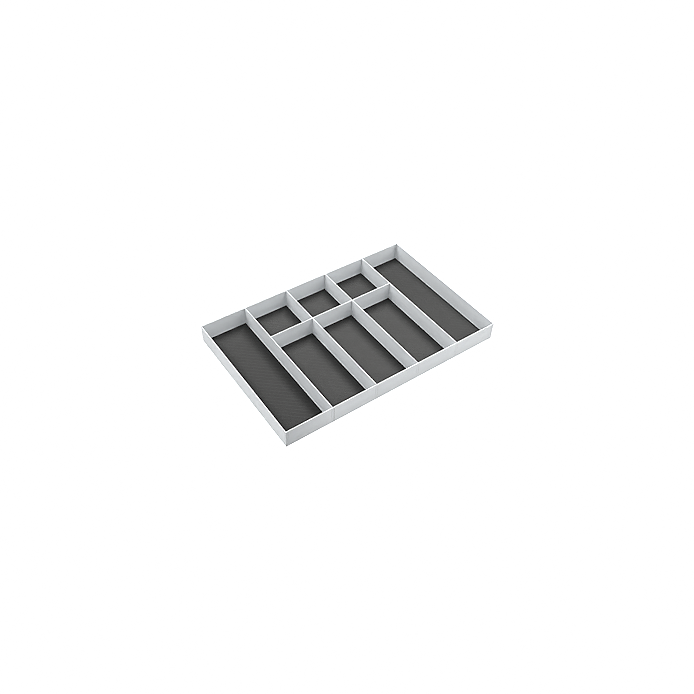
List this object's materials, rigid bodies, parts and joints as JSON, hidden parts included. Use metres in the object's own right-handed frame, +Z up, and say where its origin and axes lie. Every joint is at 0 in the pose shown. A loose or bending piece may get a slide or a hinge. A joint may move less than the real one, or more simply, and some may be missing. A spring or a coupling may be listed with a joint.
{
  "type": "drawer divider",
  "caption": "Low rectangular drawer insert of light grey panels with long, short and square compartments and dark ribbed lift-out mats.",
  "frame": {"origin": "middle of the footprint, on the underside that rests on the drawer's bottom", "axes": "+X to the right along the long side, +Y from the front of the drawer to its back, +Z up"},
  "size_m": [0.722, 0.467, 0.0585],
  "materials": {
    "panel_plastic": "light cool grey, fine satin grain",
    "connector_plastic": "light cool grey, a shade darker, fine satin grain",
    "mat_rubber": "dark neutral grey, matt, finely ribbed"
  },
  "bodies": {
    "frame": {"base_panel": "panel_plastic", "front_wall": "panel_plastic", "back_wall": "panel_plastic", "left_wall": "panel_plastic", "right_wall": "panel_plastic", "front_left_corner": "connector_plastic", "front_right_corner": "connector_plastic", "back_left_corner": "connector_plastic", "back_right_corner": "connector_plastic", "front_clip_1": "connector_plastic", "front_clip_2": "connector_plastic", "front_clip_3": "connector_plastic", "front_clip_4": "connector_plastic", "back_clip_1": "connector_plastic", "back_clip_2": "connector_plastic", "back_clip_3": "connector_plastic", "back_clip_4": "connector_plastic", "long_divider_1": "panel_plastic", "long_divider_2": "panel_plastic", "long_divider_3": "panel_plastic", "long_divider_4": "panel_plastic"},
    "cross_1": {"cross_divider_1": "panel_plastic"},
    "cross_2": {"cross_divider_2": "panel_plastic"},
    "cross_3": {"cross_divider_3": "panel_plastic"},
    "mat_left": {"left_mat": "mat_rubber"},
    "mat_right": {"right_mat": "mat_rubber"},
    "mat_front_1": {"front_mat_1": "mat_rubber"},
    "mat_front_2": {"front_mat_2": "mat_rubber"},
    "mat_front_3": {"front_mat_3": "mat_rubber"},
    "mat_rear_1": {"rear_mat_1": "mat_rubber"},
    "mat_rear_2": {"rear_mat_2": "mat_rubber"},
    "mat_rear_3": {"rear_mat_3": "mat_rubber"}
  },
  "joints": [
    {"name": "cross_1_lift", "type": "slide", "parent": "frame", "child": "cross_1", "axis": [0, 0, 1], "range_m": [0, 0.065]},
    {"name": "cross_2_lift", "type": "slide", "parent": "frame", "child": "cross_2", "axis": [0, 0, 1], "range_m": [0, 0.065]},
    {"name": "cross_3_lift", "type": "slide", "parent": "frame", "child": "cross_3", "axis": [0, 0, 1], "range_m": [0, 0.065]},
    {"name": "mat_left_lift", "type": "slide", "parent": "frame", "child": "mat_left", "axis": [0, 0, 1], "range_m": [0, 0.065]},
    {"name": "mat_right_lift", "type": "slide", "parent": "frame", "child": "mat_right", "axis": [0, 0, 1], "range_m": [0, 0.065]},
    {"name": "mat_front_1_lift", "type": "slide", "parent": "frame", "child": "mat_front_1", "axis": [0, 0, 1], "range_m": [0, 0.065]},
    {"name": "mat_front_2_lift", "type": "slide", "parent": "frame", "child": "mat_front_2", "axis": [0, 0, 1], "range_m": [0, 0.065]},
    {"name": "mat_front_3_lift", "type": "slide", "parent": "frame", "child": "mat_front_3", "axis": [0, 0, 1], "range_m": [0, 0.065]},
    {"name": "mat_rear_1_lift", "type": "slide", "parent": "frame", "child": "mat_rear_1", "axis": [0, 0, 1], "range_m": [0, 0.065]},
    {"name": "mat_rear_2_lift", "type": "slide", "parent": "frame", "child": "mat_rear_2", "axis": [0, 0, 1], "range_m": [0, 0.065]},
    {"name": "mat_rear_3_lift", "type": "slide", "parent": "frame", "child": "mat_rear_3", "axis": [0, 0, 1], "range_m": [0, 0.065]}
  ]
}
